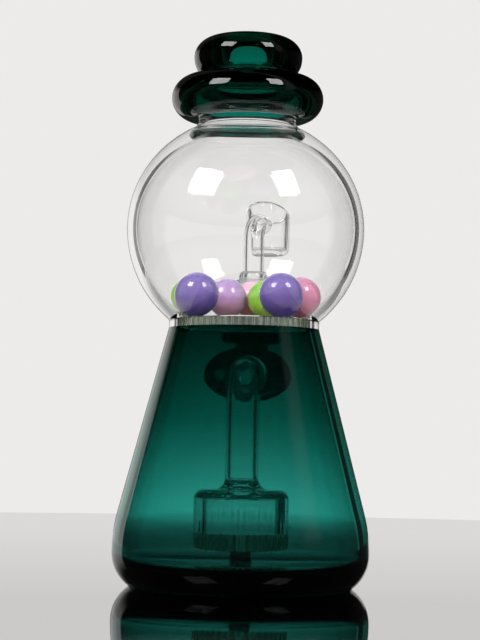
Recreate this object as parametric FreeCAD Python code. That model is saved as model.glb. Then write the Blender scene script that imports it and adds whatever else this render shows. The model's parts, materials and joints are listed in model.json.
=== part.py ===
"""Glass water pipe in the shape of a gumball dispenser, made as the glass sections it is built from.

Every section is one solid in parts/NAME.step. Lengths are in millimetres. +Z is up, the foot stands
on z = 0, the Z axis is the axis of the body, and the joint for the banger stands behind it on +Y.
"""
import FreeCAD
import Part
import math
import os

Vector = FreeCAD.Vector

# Base: a teal cone on a rounded foot
WAIST_R = 32.3            # outer radius where the cone ends and the globe begins
WAIST_Z = 110.3
BELLY_R = 55.05           # widest radius, just above the foot
BELLY_Z = 14.5
BELLY_CURVE_R = 67.0      # round from the belly up into the cone
HEEL_CURVE_R = 17.8       # round from the belly down to the foot
CONE_WALL = 4.5
FLOOR_THICK = 9.0

# Percolator: a can on a short post, with a slitted puck for its floor
PERC_R = 20.5
PERC_WALL = 4.8
PERC_CAN_BOTTOM_Z = 23.0
PERC_CAN_TALL = 18.2
PERC_ROOF = 4.2
PERC_SHOULDER_R = 4.2
PERC_CUP_TALL = 7.0
PERC_CUP_ROUND_R = 2.0
PERC_SLITS = 44
PERC_SLIT_WIDE = 1.1
PERC_SLIT_REACH = 0.8     # of the slits past the can's bore, so that the air gets into them
POST_R = 4.5
POST_WELD = 2.5           # how far the weld at the post's foot spreads

# Downstem: a clear tube from the percolator up to an elbow in the rear wall
STEM_R = 7.2
STEM_BORE_R = 5.15
STEM_LEG_DROP = 18.8      # of the leg that runs to the rear wall, below the waist
STEM_BEND_R = 12.0
STEM_WELD_R = 12.0        # weld that spreads onto the percolator's roof
STEM_WELD_TALL = 4.8
SEAL_R = 11.7             # weld that spreads onto the rear wall, inside
SEAL_LONG = 8.5

# Joint behind the body
JOINT_GAP = 2.0           # between the globe and the socket
FLARE_HALF_WIDE = 21.5    # weld that spreads onto the rear wall, outside
FLARE_HALF_TALL = 13.0
FLARE_STEPS = 6
ELBOW_R = 8.9
ELBOW_BEND_R = 12.0
ELBOW_RISE = 4.0
COLLAR_R = 17.3
COLLAR_TALL = 7.0
SOCKET_R = 8.9
SOCKET_LONG = 20.5
GROUND_MOUTH_R = 7.25     # ground joint: 14.5 mm across the mouth, taper 1 in 10
GROUND_TAPER = 0.1        # change of diameter over length
GROUND_LONG = 20.0
GROUND_CLEAR = 0.05

# Slitted disc that the marbles lie on
DISC_THICK = 5.1
DISC_SLOTS = 60
DISC_SLOT_WIDE = 1.0
DISC_SLOT_DEEP = 3.0
DISC_FIT = 0.05           # between the disc's rim and the globe's collar

# Globe and its neck
GLOBE_R = 51.1
GLOBE_TOP_TALL = 48.8     # its upper half is a little flatter than round
GLOBE_WALL = 4.2
GLOBE_COLLAR_TALL = 3.55
NECK_R = 21.0
NECK_BORE_R = 16.8
NECK_TALL = 6.0

# Lid: two thick teal rings with the mouthpiece's passage through them
BRIM_RING_R = 23.4        # centre of the lower ring's round section
BRIM_TUBE_R = 9.4
BRIM_RISE = 6.3           # of that centre above the neck
BRIM_WALL = 8.6           # it is blown hollow
BRIM_HOLLOW_RISE = 5.0    # of the hollow above the ring's centre
LID_WAIST_R = 19.6
LID_WAIST_RISE = 11.2     # above the lower ring's centre
LID_THROAT_R = 13.5
CROWN_R = 23.45
CROWN_BELLY_RISE = 7.0
CROWN_CREST_R = 13.2
CROWN_TOP_RISE = 8.7
CROWN_BORE_R = 12.0
MOUTH_R = 10.8

# Banger: quartz tube and bucket on a ground taper
ARM_R = 5.0
ARM_BORE_R = 3.6
ARM_BEND_R = 8.5
ARM_LEG_RISE = 29.2       # of the arm's level leg above the socket's rim
SHOULDER_STAND = 0.8      # straight stretch above the rim
SHOULDER_TALL = 3.6
BUCKET_R = 11.3
BUCKET_WALL = 2.2
BUCKET_FLOOR = 2.6
BUCKET_ROUND_R = 4.0
BUCKET_REACH = 24.0       # from the socket's axis to the bucket's
BUCKET_YAW_DEG = 14.0     # the bucket points this far to the right of straight back
BUCKET_DROP = 14.8        # of its underside below the arm's leg
BUCKET_MID_RISE = 7.8     # of its rim, at the middle, above the arm's leg
BUCKET_RIM_DEG = 24.0     # the rim is cut on a slant, high beside the arm

# Loose marbles
PURPLE_MARBLE_D = 18.2
PINK_MARBLE_D = 17.6
GREEN_MARBLE_D = 16.8
PALE_MARBLE_D = 17.4
MARBLE_LEFT_DEG = -52.0   # turned from the front, towards +X
MARBLE_RIGHT_DEG = 43.0
MARBLE_REAR_DEG = 175.0
MARBLE_CLEAR = 0.3        # to the globe and to each other
MARBLE_LIFT = 0.1         # above the disc

# Places that follow from the sizes above
AXIS = Vector(0, 0, 1)
FLOOR_Z = FLOOR_THICK
COLLAR_BORE_R = WAIST_R - GLOBE_WALL
DISC_R = COLLAR_BORE_R - DISC_FIT
DISC_TOP_Z = WAIST_Z + DISC_THICK
GLOBE_Z = WAIST_Z + GLOBE_COLLAR_TALL + math.sqrt(GLOBE_R**2 - WAIST_R**2)
GLOBE_INNER_R = GLOBE_R - GLOBE_WALL
NECK_TOP_Z = GLOBE_Z + GLOBE_TOP_TALL * math.sqrt(1 - (NECK_R / GLOBE_R)**2) + NECK_TALL
BRIM_Z = NECK_TOP_Z + BRIM_RISE
LID_WAIST_Z = BRIM_Z + LID_WAIST_RISE
CROWN_BELLY_Z = LID_WAIST_Z + CROWN_BELLY_RISE
CROWN_TOP_Z = CROWN_BELLY_Z + CROWN_TOP_RISE
PERC_TOP_Z = PERC_CAN_BOTTOM_Z + PERC_CAN_TALL
PERC_BOTTOM_Z = PERC_CAN_BOTTOM_Z - PERC_CUP_TALL
STEM_BOTTOM_Z = PERC_TOP_Z + STEM_WELD_TALL
STEM_LEG_Z = WAIST_Z - STEM_LEG_DROP
JOINT_Y = GLOBE_R + JOINT_GAP + SOCKET_R
COLLAR_Z = STEM_LEG_Z + ELBOW_BEND_R + ELBOW_RISE
SOCKET_Z = COLLAR_Z + COLLAR_TALL
RIM_Z = SOCKET_Z + SOCKET_LONG
ARM_LEG_Z = RIM_Z + ARM_LEG_RISE
ARM_FOOT_Z = RIM_Z + SHOULDER_STAND + SHOULDER_TALL


class Outline:
    """A closed outline in the X-Z plane, drawn as (radius, height) from point to point."""

    def __init__(self, r, z):
        self.start = self.here = Vector(r, 0, z)
        self.edges = []

    def line(self, r, z):
        """Straight to (r, z)."""
        there = Vector(r, 0, z)
        self.edges.append(Part.LineSegment(self.here, there).toShape())
        self.here = there
        return self

    def arc(self, centre, r, z):
        """Round to (r, z) about centre, the short way."""
        there = Vector(r, 0, z)
        middle = Vector(centre[0], 0, centre[1])
        across = (self.here + there) * 0.5 - middle
        half_way = middle + across.normalize() * (self.here - middle).Length
        self.edges.append(Part.Arc(self.here, half_way, there).toShape())
        self.here = there
        return self

    def quarter(self, centre, r, z):
        """A quarter of an ellipse to (r, z), with its axes level and upright."""
        there = Vector(r, 0, z)
        middle = Vector(centre[0], 0, centre[1])
        curve = Part.BezierCurve()
        curve.setPoles([self.here, self.here + there - middle, there])
        curve.setWeight(2, math.sqrt(0.5))
        self.edges.append(curve.toShape())
        self.here = there
        return self

    def face(self):
        """The outline closed by a straight line back to its start."""
        if self.here.distanceToPoint(self.start) > 1e-7:
            self.line(self.start.x, self.start.z)
        return Part.Face(Part.Wire(self.edges))

    def turned(self):
        """The outline turned about the Z axis into a solid."""
        return self.face().revolve(Vector(0, 0, 0), AXIS, 360)


def lean_of_cone():
    """Angle of the cone's side from upright: its line runs from the waist to touch the belly's round."""
    across, up = WAIST_R - (BELLY_R - BELLY_CURVE_R), WAIST_Z - BELLY_Z
    return math.atan2(up, across) - math.acos(BELLY_CURVE_R / math.hypot(across, up))


def cone_radius(z):
    """Outer radius of the straight part of the cone at this height."""
    return WAIST_R + (WAIST_Z - z) * math.tan(lean_of_cone())


def inner_radius(z):
    """Inner radius of the cone at this height: its wall is even."""
    return cone_radius(z) - CONE_WALL / math.cos(lean_of_cone())


def foot_radius():
    """Radius where the heel's round meets the ground."""
    return BELLY_R - HEEL_CURVE_R + math.sqrt(HEEL_CURVE_R**2 - BELLY_Z**2)


def with_side(shape, inset):
    """An outline carried on up the belly's round and the cone's side, this far inside their surface."""
    lean = lean_of_cone()
    centre = (BELLY_R - BELLY_CURVE_R, BELLY_Z)
    round_r = BELLY_CURVE_R - inset
    shape.arc(centre, centre[0] + round_r * math.cos(lean), BELLY_Z + round_r * math.sin(lean))
    return shape.line(WAIST_R - inset / math.cos(lean), WAIST_Z).line(0, WAIST_Z)


def outside_of_base():
    """The base as if it were solid."""
    shape = Outline(0, 0).line(foot_radius(), 0)
    shape.arc((BELLY_R - HEEL_CURVE_R, BELLY_Z), BELLY_R, BELLY_Z)
    return with_side(shape, 0).turned()


def inside_of_base():
    """The hollow of the base, from its floor up an even wall to its open top."""
    floor_r = BELLY_R - CONE_WALL - (BELLY_Z - FLOOR_Z)
    shape = Outline(0, FLOOR_Z).line(floor_r, FLOOR_Z)
    shape.arc((floor_r, BELLY_Z), BELLY_R - CONE_WALL, BELLY_Z)
    return with_side(shape, CONE_WALL).turned()


def base_cone():
    """Teal cone with its thick floor, and the hole where the downstem comes through its rear wall."""
    hole = Part.makeCylinder(STEM_BORE_R, BELLY_R, Vector(0, 0, STEM_LEG_Z), Vector(0, 1, 0))
    return outside_of_base().cut(inside_of_base()).cut(hole)


def percolator_post():
    """Solid post that holds the percolator off the floor, with its weld spread at the foot."""
    shape = Outline(0, FLOOR_Z).line(POST_R + POST_WELD, FLOOR_Z)
    shape.arc((POST_R + POST_WELD, FLOOR_Z + POST_WELD), POST_R, FLOOR_Z + POST_WELD)
    return shape.line(POST_R, PERC_BOTTOM_Z).line(0, PERC_BOTTOM_Z).turned()


def radial_slits(count, wide, from_r, to_r, from_z, to_z):
    """Upright slits in a ring, as one shape to cut away."""
    slit = Part.makeBox(to_r - from_r, wide, to_z - from_z, Vector(from_r, -wide / 2, from_z))
    slits = []
    for index in range(count):
        turned = slit.copy()
        turned.rotate(Vector(0, 0, 0), AXIS, index * 360.0 / count)
        slits.append(turned)
    return Part.makeCompound(slits)


def percolator_cup():
    """Slitted puck that closes the can below: the bubbles leave through its slits."""
    slit_r = PERC_R - PERC_WALL - PERC_SLIT_REACH
    round_z = PERC_BOTTOM_Z + PERC_CUP_ROUND_R
    shape = Outline(0, PERC_BOTTOM_Z).line(PERC_R - PERC_CUP_ROUND_R, PERC_BOTTOM_Z)
    shape.arc((PERC_R - PERC_CUP_ROUND_R, round_z), PERC_R, round_z)
    puck = shape.line(PERC_R, PERC_CAN_BOTTOM_Z).line(0, PERC_CAN_BOTTOM_Z).turned()
    return puck.cut(radial_slits(PERC_SLITS, PERC_SLIT_WIDE, slit_r, PERC_R * 2, 0, PERC_CAN_BOTTOM_Z))


def percolator_can():
    """Clear can with a thick roof, a round shoulder and the weld that rises to the downstem."""
    bore_r = PERC_R - PERC_WALL
    roof_z = PERC_TOP_Z - PERC_ROOF
    shoulder_z = PERC_TOP_Z - PERC_SHOULDER_R
    shape = Outline(bore_r, PERC_CAN_BOTTOM_Z).line(PERC_R, PERC_CAN_BOTTOM_Z).line(PERC_R, shoulder_z)
    shape.arc((PERC_R - PERC_SHOULDER_R, shoulder_z), PERC_R - PERC_SHOULDER_R, PERC_TOP_Z)
    shape.line(STEM_WELD_R, PERC_TOP_Z)
    shape.quarter((STEM_WELD_R, STEM_BOTTOM_Z), STEM_R, STEM_BOTTOM_Z)
    return shape.line(STEM_BORE_R, STEM_BOTTOM_Z).line(STEM_BORE_R, roof_z).line(bore_r, roof_z).turned()


def bent_tube(radius, points, bend_r):
    """A round bar along two straight runs that meet at a right angle, with a round bend between."""
    start, corner, end = points
    back, ahead = (start - corner).normalize(), (end - corner).normalize()
    leave, join = corner + back * bend_r, corner + ahead * bend_r
    centre = corner + (back + ahead) * bend_r
    middle = centre + (corner - centre).normalize() * bend_r
    path = [Part.LineSegment(start, leave).toShape(), Part.Arc(leave, middle, join).toShape()]
    if join.distanceToPoint(end) > 1e-6:
        path.append(Part.LineSegment(join, end).toShape())
    section = Part.Wire(Part.makeCircle(radius, start, back))
    return Part.Wire(path).makePipeShell([section], True, False)


def downstem():
    """Clear tube up the middle with an elbow to the rear, where its seal takes over."""
    leg_end_y = inner_radius(STEM_LEG_Z) - SEAL_LONG
    points = [Vector(0, 0, STEM_BOTTOM_Z), Vector(0, 0, STEM_LEG_Z), Vector(0, leg_end_y, STEM_LEG_Z)]
    tube, bore = [bent_tube(radius, points, STEM_BEND_R) for radius in (STEM_R, STEM_BORE_R)]
    return tube.cut(bore)


def laid_back(shape):
    """A shape drawn about the Z axis, laid along +Y at the height of the downstem's leg."""
    shape.rotate(Vector(0, 0, 0), Vector(1, 0, 0), -90)
    shape.translate(Vector(0, 0, STEM_LEG_Z))
    return shape


def stem_seal():
    """Clear weld that widens from the downstem onto the inside of the rear wall."""
    start_y = inner_radius(STEM_LEG_Z) - SEAL_LONG
    past_y = start_y + SEAL_LONG * 2
    shape = Outline(STEM_BORE_R, start_y).line(STEM_R, start_y)
    shape.quarter((SEAL_R, start_y), SEAL_R, start_y + SEAL_LONG)
    shape.line(SEAL_R, past_y).line(STEM_BORE_R, past_y)
    return laid_back(shape.turned()).common(inside_of_base())


def joint_flare():
    """Teal weld that swells from an oval on the rear wall and rounds off to the elbow."""
    start_y = math.sqrt(cone_radius(STEM_LEG_Z)**2 - FLARE_HALF_WIDE**2)
    end_y = JOINT_Y - ELBOW_BEND_R
    sections = []
    for step in range(FLARE_STEPS + 1):
        share = step / FLARE_STEPS
        spread = math.cos(share * math.pi / 2)
        wide, tall = [ELBOW_R + (half - ELBOW_R) * spread for half in (FLARE_HALF_WIDE, FLARE_HALF_TALL)]
        centre = Vector(0, 0, start_y + (end_y - start_y) * share)
        oval = Part.Ellipse(centre, wide, tall) if step < FLARE_STEPS else Part.Circle(centre, AXIS, ELBOW_R)
        sections.append(Part.Wire(oval.toShape()))
    bore = Part.makeCylinder(STEM_BORE_R, end_y)
    return laid_back(Part.makeLoft(sections, True).cut(bore)).cut(outside_of_base())


def joint_elbow():
    """Teal tube that turns up from the flare to the collar."""
    corner = Vector(0, JOINT_Y, STEM_LEG_Z)
    points = [Vector(0, JOINT_Y, COLLAR_Z), corner, corner - Vector(0, ELBOW_BEND_R, 0)]
    tube, bore = [bent_tube(radius, points, ELBOW_BEND_R) for radius in (ELBOW_R, STEM_BORE_R)]
    return tube.cut(bore)


def over_joint(outline):
    """An outline turned about the joint's upright axis."""
    shape = outline.turned()
    shape.translate(Vector(0, JOINT_Y, 0))
    return shape


def joint_collar():
    """Teal bead pressed out round the joint under its socket."""
    half = COLLAR_TALL / 2
    shape = Outline(STEM_BORE_R, COLLAR_Z).line(COLLAR_R - half, COLLAR_Z)
    shape.arc((COLLAR_R - half, COLLAR_Z + half), COLLAR_R, COLLAR_Z + half)
    shape.arc((COLLAR_R - half, COLLAR_Z + half), COLLAR_R - half, SOCKET_Z)
    return over_joint(shape.line(STEM_BORE_R, SOCKET_Z))


def ground_radius(z):
    """Radius of the socket's ground taper at this height."""
    return GROUND_MOUTH_R - (RIM_Z - z) * GROUND_TAPER / 2


def joint_socket():
    """Clear socket with the ground taper that the banger stands in."""
    seat_z = RIM_Z - GROUND_LONG
    shape = Outline(STEM_BORE_R, SOCKET_Z).line(SOCKET_R, SOCKET_Z).line(SOCKET_R, RIM_Z)
    shape.line(ground_radius(RIM_Z), RIM_Z).line(ground_radius(seat_z), seat_z)
    return over_joint(shape.line(STEM_BORE_R, seat_z))


def slitted_disc():
    """Clear disc seated on the cone's rim, with slots round its edge for the air to pass."""
    disc = Part.makeCylinder(DISC_R, DISC_THICK, Vector(0, 0, WAIST_Z))
    slot_r = DISC_R - DISC_SLOT_DEEP
    return disc.cut(radial_slits(DISC_SLOTS, DISC_SLOT_WIDE, slot_r, DISC_R * 2, WAIST_Z, DISC_TOP_Z))


def ball(radius, top_tall, collar_r):
    """A solid ball on a straight collar that starts at the waist."""
    collar_z = GLOBE_Z - math.sqrt(radius**2 - collar_r**2)
    shape = Outline(0, WAIST_Z).line(collar_r, WAIST_Z).line(collar_r, collar_z)
    shape.arc((0, GLOBE_Z), radius, GLOBE_Z).quarter((0, GLOBE_Z), 0, GLOBE_Z + top_tall)
    return shape.turned()


def outside_of_globe():
    """The globe as if it were solid, with the collar below it."""
    return ball(GLOBE_R, GLOBE_TOP_TALL, WAIST_R)


def globe():
    """Clear globe, open below to the disc and above to the neck."""
    hollow = ball(GLOBE_INNER_R, GLOBE_TOP_TALL - GLOBE_WALL, COLLAR_BORE_R)
    mouth = Part.makeCylinder(NECK_BORE_R, GLOBE_R * 2, Vector(0, 0, GLOBE_Z))
    return outside_of_globe().cut(hollow).cut(mouth)


def neck():
    """Clear neck that stands on the globe and carries the lid."""
    ring = Outline(NECK_BORE_R, GLOBE_Z).line(NECK_R, GLOBE_Z)
    ring.line(NECK_R, NECK_TOP_Z).line(NECK_BORE_R, NECK_TOP_Z)
    return ring.turned().cut(outside_of_globe())


def lid_brim():
    """Lower teal ring of the lid, blown hollow, with a passage that narrows to the throat."""
    hollow_r = BRIM_RING_R + BRIM_TUBE_R - BRIM_WALL
    centre = (BRIM_RING_R, BRIM_Z)
    seat_z = BRIM_Z - math.sqrt(BRIM_TUBE_R**2 - (BRIM_RING_R - NECK_R)**2)
    top_z = BRIM_Z + math.sqrt(BRIM_TUBE_R**2 - (BRIM_RING_R - LID_WAIST_R)**2)
    shape = Outline(NECK_BORE_R, NECK_TOP_Z).line(NECK_R, NECK_TOP_Z).line(NECK_R, seat_z)
    shape.arc(centre, BRIM_RING_R + BRIM_TUBE_R, BRIM_Z).arc(centre, LID_WAIST_R, top_z)
    shape.line(LID_WAIST_R, LID_WAIST_Z).line(LID_THROAT_R, LID_WAIST_Z)
    shape.line(LID_THROAT_R, BRIM_Z + BRIM_HOLLOW_RISE).quarter((LID_THROAT_R, BRIM_Z), hollow_r, BRIM_Z)
    shape.quarter((NECK_BORE_R, BRIM_Z), NECK_BORE_R, NECK_TOP_Z)
    return shape.turned()


def lid_crown():
    """Upper teal ring of the lid, with the mouth of the mouthpiece in its top."""
    lip_r = CROWN_CREST_R - MOUTH_R
    shape = Outline(LID_THROAT_R, LID_WAIST_Z).line(LID_WAIST_R, LID_WAIST_Z)
    shape.quarter((LID_WAIST_R, CROWN_BELLY_Z), CROWN_R, CROWN_BELLY_Z)
    shape.quarter((CROWN_CREST_R, CROWN_BELLY_Z), CROWN_CREST_R, CROWN_TOP_Z)
    shape.arc((CROWN_CREST_R, CROWN_TOP_Z - lip_r), MOUTH_R, CROWN_TOP_Z - lip_r)
    shape.line(CROWN_BORE_R, CROWN_BELLY_Z)
    return shape.turned()


def banger_taper():
    """Frosted quartz taper in the socket, with the shoulder that narrows to the arm."""
    foot_z = RIM_Z - GROUND_LONG
    stand_z = RIM_Z + SHOULDER_STAND
    shape = Outline(ARM_BORE_R, foot_z).line(ground_radius(foot_z) - GROUND_CLEAR, foot_z)
    shape.line(ground_radius(stand_z) - GROUND_CLEAR, stand_z)
    shape.line(ARM_R, ARM_FOOT_Z).line(ARM_BORE_R, ARM_FOOT_Z)
    return over_joint(shape)


def bucket_axis():
    """Where the bucket's upright axis stands."""
    yaw = math.radians(BUCKET_YAW_DEG)
    return Vector(BUCKET_REACH * math.sin(yaw), JOINT_Y + BUCKET_REACH * math.cos(yaw), 0)


def arm_bar(radius):
    """A round bar along the arm, from its shoulder to the bucket's axis."""
    corner = Vector(0, JOINT_Y, ARM_LEG_Z)
    points = [Vector(0, JOINT_Y, ARM_FOOT_Z), corner, bucket_axis() + Vector(0, 0, ARM_LEG_Z)]
    return bent_tube(radius, points, ARM_BEND_R)


def bucket_bar(radius):
    """A round upright bar about the bucket's axis, taller than the bucket."""
    bottom_z = ARM_LEG_Z - BUCKET_DROP
    return Part.makeCylinder(radius, BUCKET_DROP * 4, bucket_axis() + Vector(0, 0, bottom_z))


def banger_arm():
    """Clear quartz tube that rises from the joint and turns over to the bucket."""
    return arm_bar(ARM_R).cut(arm_bar(ARM_BORE_R)).cut(bucket_bar(BUCKET_R))


def banger_bucket():
    """Clear quartz bucket with a rounded floor, a slanted rim and the arm's hole in its side."""
    bottom_z = ARM_LEG_Z - BUCKET_DROP
    floor_z = bottom_z + BUCKET_FLOOR
    top_z = ARM_LEG_Z + BUCKET_DROP * 2
    bore_r = BUCKET_R - BUCKET_WALL
    bore_round_r = max(BUCKET_ROUND_R - BUCKET_WALL, BUCKET_WALL / 4)
    shape = Outline(0, bottom_z).line(BUCKET_R - BUCKET_ROUND_R, bottom_z)
    shape.arc((BUCKET_R - BUCKET_ROUND_R, bottom_z + BUCKET_ROUND_R), BUCKET_R, bottom_z + BUCKET_ROUND_R)
    shape.line(BUCKET_R, top_z).line(bore_r, top_z).line(bore_r, floor_z + bore_round_r)
    shape.arc((bore_r - bore_round_r, floor_z + bore_round_r), bore_r - bore_round_r, floor_z)
    cup = shape.line(0, floor_z).turned()
    cup.translate(bucket_axis())
    reach = BUCKET_R * 4
    above = Part.makeBox(reach * 2, reach * 2, reach, Vector(-reach, -reach, 0))
    above.rotate(Vector(0, 0, 0), Vector(1, 0, 0), -BUCKET_RIM_DEG)
    above.rotate(Vector(0, 0, 0), AXIS, -BUCKET_YAW_DEG)
    above.translate(bucket_axis() + Vector(0, 0, ARM_LEG_Z + BUCKET_MID_RISE))
    return cup.cut(above).cut(arm_bar(ARM_BORE_R))


def marble_height(diameter):
    """Height of the centre of a marble that lies on the disc."""
    return DISC_TOP_Z + MARBLE_LIFT + diameter / 2


def against_wall(diameter, degrees):
    """Centre of a marble that lies on the disc against the globe, turned this far from the front."""
    z = marble_height(diameter)
    reach = math.sqrt((GLOBE_INNER_R - MARBLE_CLEAR - diameter / 2)**2 - (GLOBE_Z - z)**2)
    turn = math.radians(degrees)
    return Vector(reach * math.sin(turn), -reach * math.cos(turn), z)


def step_between(diameter_a, diameter_b):
    """Angle, in degrees, between two marbles that lie side by side against the globe."""
    a, b = against_wall(diameter_a, 0), against_wall(diameter_b, 0)
    apart = (diameter_a + diameter_b) / 2 + MARBLE_CLEAR
    level = apart**2 - (a.z - b.z)**2
    return math.degrees(math.acos((a.y**2 + b.y**2 - level) / (2 * a.y * b.y)))


def between(diameter, first, first_d, second, second_d):
    """Centre of a marble that lies against two others, on the side of the globe's axis."""
    z = marble_height(diameter)
    apart = [(diameter + d) / 2 + MARBLE_CLEAR for d in (first_d, second_d)]
    reach = [math.sqrt(s**2 - (z - p.z)**2) for s, p in zip(apart, (first, second))]
    base = Vector(second.x - first.x, second.y - first.y, 0)
    along = (reach[0]**2 - reach[1]**2 + base.Length**2) / (2 * base.Length)
    side = math.sqrt(reach[0]**2 - along**2)
    ahead = base.normalize()
    foot = Vector(first.x, first.y, z) + ahead * along
    choices = [foot + Vector(-ahead.y, ahead.x, 0) * s for s in (side, -side)]
    return min(choices, key=lambda p: math.hypot(p.x, p.y))


def marbles():
    """The loose marbles by name, each a diameter and a centre."""
    left_deg = MARBLE_LEFT_DEG - step_between(PURPLE_MARBLE_D, GREEN_MARBLE_D)
    right_deg = MARBLE_RIGHT_DEG + step_between(PURPLE_MARBLE_D, PINK_MARBLE_D)
    green_left = against_wall(GREEN_MARBLE_D, left_deg)
    pink_right = against_wall(PINK_MARBLE_D, right_deg)
    pink_rear = against_wall(PALE_MARBLE_D, MARBLE_REAR_DEG)
    lilac = between(PALE_MARBLE_D, green_left, GREEN_MARBLE_D, pink_rear, PALE_MARBLE_D)
    green_middle = between(GREEN_MARBLE_D, pink_right, PINK_MARBLE_D, pink_rear, PALE_MARBLE_D)
    return {
        "marble_purple_right": (PURPLE_MARBLE_D, against_wall(PURPLE_MARBLE_D, MARBLE_RIGHT_DEG)),
        "marble_purple_left": (PURPLE_MARBLE_D, against_wall(PURPLE_MARBLE_D, MARBLE_LEFT_DEG)),
        "marble_green_left": (GREEN_MARBLE_D, green_left),
        "marble_green_middle": (GREEN_MARBLE_D, green_middle),
        "marble_lilac": (PALE_MARBLE_D, lilac),
        "marble_pink_right": (PINK_MARBLE_D, pink_right),
        "marble_pink_rear": (PALE_MARBLE_D, pink_rear),
    }


SECTIONS = (
    base_cone, percolator_post, percolator_cup, percolator_can, downstem, stem_seal,
    joint_flare, joint_elbow, joint_collar, joint_socket,
    slitted_disc, globe, neck, lid_brim, lid_crown,
    banger_taper, banger_arm, banger_bucket,
)


def main():
    """Build every section and write it to its file."""
    os.makedirs("parts", exist_ok=True)
    solids = {section.__name__: section() for section in SECTIONS}
    for name, (diameter, centre) in marbles().items():
        solids[name] = Part.makeSphere(diameter / 2, centre)
    for name, shape in solids.items():
        shape.exportStep(os.path.join("parts", name + ".step"))
        box = shape.optimalBoundingBox()
        print(f"{name}: {len(shape.Solids)} solid, valid {shape.isValid()}, {shape.Volume / 1000:.2f} cm3, "
              f"z {box.ZMin:.2f} to {box.ZMax:.2f}, {box.XLength:.1f} x {box.YLength:.1f} mm")


main()
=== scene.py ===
# %% [markdown]
# # A glass water pipe in the form of a gumball dispenser
# The real object is blown and welded from borosilicate tube at a torch. A teal cone holds a percolator, a
# clear globe stands on it with loose marbles on a slitted disc, and a teal lid of two thick rings is the
# mouthpiece. A quartz banger stands in a ground joint behind the body.
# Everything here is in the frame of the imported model, so each piece goes where its solid is. Blender counts
# in metres; the profiles are drawn in millimetres, as on a workshop sheet, and MM turns one into the other.

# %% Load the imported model
import json
import math

import bmesh
import bpy
from mathutils import Matrix, Vector


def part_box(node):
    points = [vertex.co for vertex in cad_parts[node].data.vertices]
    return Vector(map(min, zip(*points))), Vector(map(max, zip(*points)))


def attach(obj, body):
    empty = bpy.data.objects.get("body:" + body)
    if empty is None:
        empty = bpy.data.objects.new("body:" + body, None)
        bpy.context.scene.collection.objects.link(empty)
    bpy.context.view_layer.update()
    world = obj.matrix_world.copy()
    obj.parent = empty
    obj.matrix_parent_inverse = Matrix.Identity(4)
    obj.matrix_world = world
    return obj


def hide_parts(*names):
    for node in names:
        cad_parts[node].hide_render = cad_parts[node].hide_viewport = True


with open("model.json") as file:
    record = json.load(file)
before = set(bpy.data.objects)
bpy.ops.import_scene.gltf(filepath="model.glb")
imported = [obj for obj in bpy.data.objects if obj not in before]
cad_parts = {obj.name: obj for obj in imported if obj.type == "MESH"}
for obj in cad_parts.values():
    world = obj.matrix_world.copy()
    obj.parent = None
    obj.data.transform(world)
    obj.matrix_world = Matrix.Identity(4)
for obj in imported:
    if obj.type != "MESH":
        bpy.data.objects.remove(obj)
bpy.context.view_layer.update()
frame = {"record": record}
MM = 0.001


# %% [markdown]
# ## Small helpers for materials
# Colours are written as sRGB hex values, as a paint chart gives them, and Blender's shaders work in linear
# light, so one function turns one into the other. The second helper adds a shader node: its settings are
# plain words, and a socket that is given another node's output gets a link instead of a value. Nodes could
# also be drawn by hand in the editor, but a script can be read and run again.

# %% Colour and node helpers
def paint(code):
    """An sRGB hex colour as linear red, green, blue and alpha."""
    shares = [int(code[i:i + 2], 16) / 255 for i in (1, 3, 5)]
    return [s / 12.92 if s <= 0.04045 else ((s + 0.055) / 1.055) ** 2.4 for s in shares] + [1.0]


def add(tree, kind, sockets, **settings):
    """Add a shader node with its settings, and fill or link its sockets."""
    node = tree.nodes.new("ShaderNode" + kind)
    for name, value in settings.items():
        setattr(node, name, value)
    for name, value in sockets.items():
        if isinstance(value, bpy.types.NodeSocket):
            tree.links.new(value, node.inputs[name])
        else:
            node.inputs[name].default_value = value
    return node


def start_material(name):
    """A new material with an empty node tree."""
    material = bpy.data.materials.new(name)
    material.use_nodes = True
    material.node_tree.nodes.clear()
    return material, material.node_tree


TEAL = "#26dbd4"
print("teal in linear light:", [round(v, 3) for v in paint(TEAL)])


# %% [markdown]
# ## Blown glass
# Borosilicate glass has an index of refraction of about 1.47, and fused quartz 1.46. Fire polishing leaves
# the surface smooth, with long, shallow ripples from the hands that turned it: a bump with waves some 25 mm
# long and a few hundredths of a millimetre deep.
# A tint could be painted on the surface, but coloured glass is coloured all through, so it is an absorption
# inside the body: thin walls look pale and thick rings nearly black. Rays from lamps pass straight through,
# so that what stands inside is lit as it is through real glass.

# %% One recipe for all glass
BORO_IOR, QUARTZ_IOR, JOINT_IOR = 1.473, 1.458, 1.47
CLEAR, LET_THROUGH = "#ffffff", "#f4f4f4"


def blown_glass(name, ior=BORO_IOR, roughness=0.0, ripple_mm=25.0, deep_mm=0.02,
                tint=None, per_metre=0.0, skin=CLEAR):
    """Fire-polished glass with hand-made ripples, and a tint that grows with its thickness."""
    material, tree = start_material(name)
    place = add(tree, "TexCoord", {})
    ripple = add(tree, "TexNoise", {"Vector": place.outputs["Object"], "Scale": 1 / (ripple_mm * MM),
                                    "Detail": 1.0})
    bump = add(tree, "Bump", {"Height": ripple.outputs[0], "Strength": 1.0, "Distance": deep_mm * MM})
    glass = add(tree, "BsdfPrincipled", {"Base Color": paint(skin), "Roughness": roughness, "IOR": ior,
                                         "Transmission Weight": 1.0, "Normal": bump.outputs[0]})
    clear = add(tree, "BsdfTransparent", {"Color": paint(LET_THROUGH)})
    ray = add(tree, "LightPath", {})
    surface = add(tree, "MixShader", {0: ray.outputs["Is Shadow Ray"], 1: glass.outputs[0],
                                      2: clear.outputs[0]})
    out = add(tree, "OutputMaterial", {"Surface": surface.outputs[0]})
    if tint:
        inside = add(tree, "VolumeAbsorption", {"Color": paint(tint), "Density": per_metre})
        tree.links.new(inside.outputs[0], out.inputs["Volume"])
    print(name)
    return material


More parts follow.
